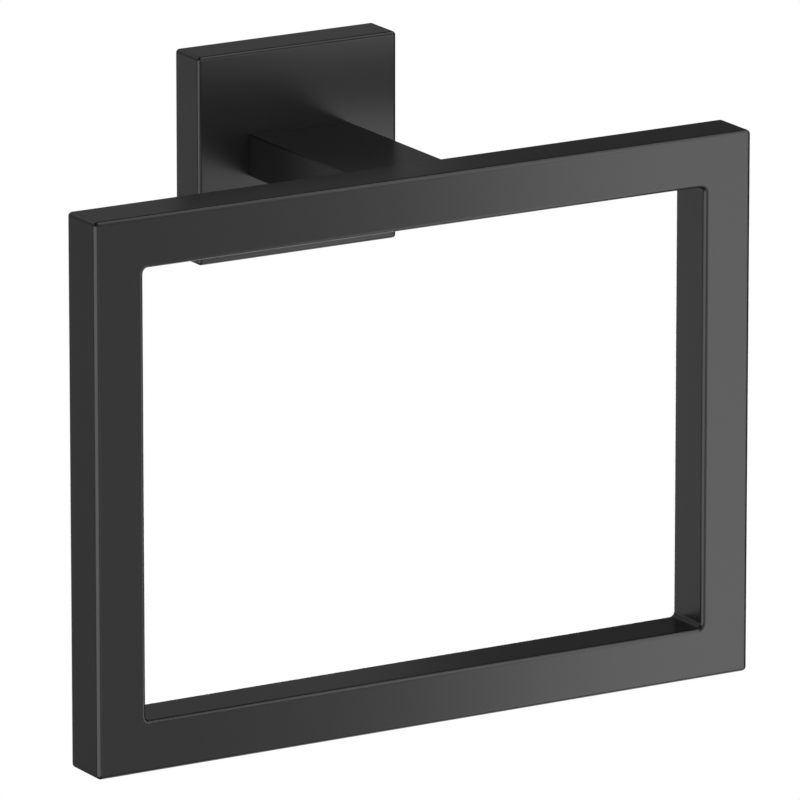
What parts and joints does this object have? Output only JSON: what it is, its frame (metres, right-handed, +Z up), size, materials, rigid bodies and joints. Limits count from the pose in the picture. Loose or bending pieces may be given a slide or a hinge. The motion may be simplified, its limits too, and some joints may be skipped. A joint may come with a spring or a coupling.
{
  "type": "towel ring",
  "caption": "Rectangular closed towel ring on a flat post, with a thick cover plate that hooks over a hidden bracket on the wall.",
  "frame": {"origin": "middle of the cover plate's back, in the plane of the wall", "axes": "+Y points into the wall, +Z up, +X to the right seen from the room; the ring stands out along -Y"},
  "size_m": [0.2, 0.08, 0.1715],
  "materials": {
    "black_coating": "satin",
    "zinc_plated_steel": "satin"
  },
  "bodies": {
    "root": {"towel_ring": "black_coating", "post": "black_coating", "wall_plate": "black_coating", "wall_bracket": "zinc_plated_steel", "set_screw": "zinc_plated_steel", "tie_screws": "zinc_plated_steel"}
  },
  "joints": []
}
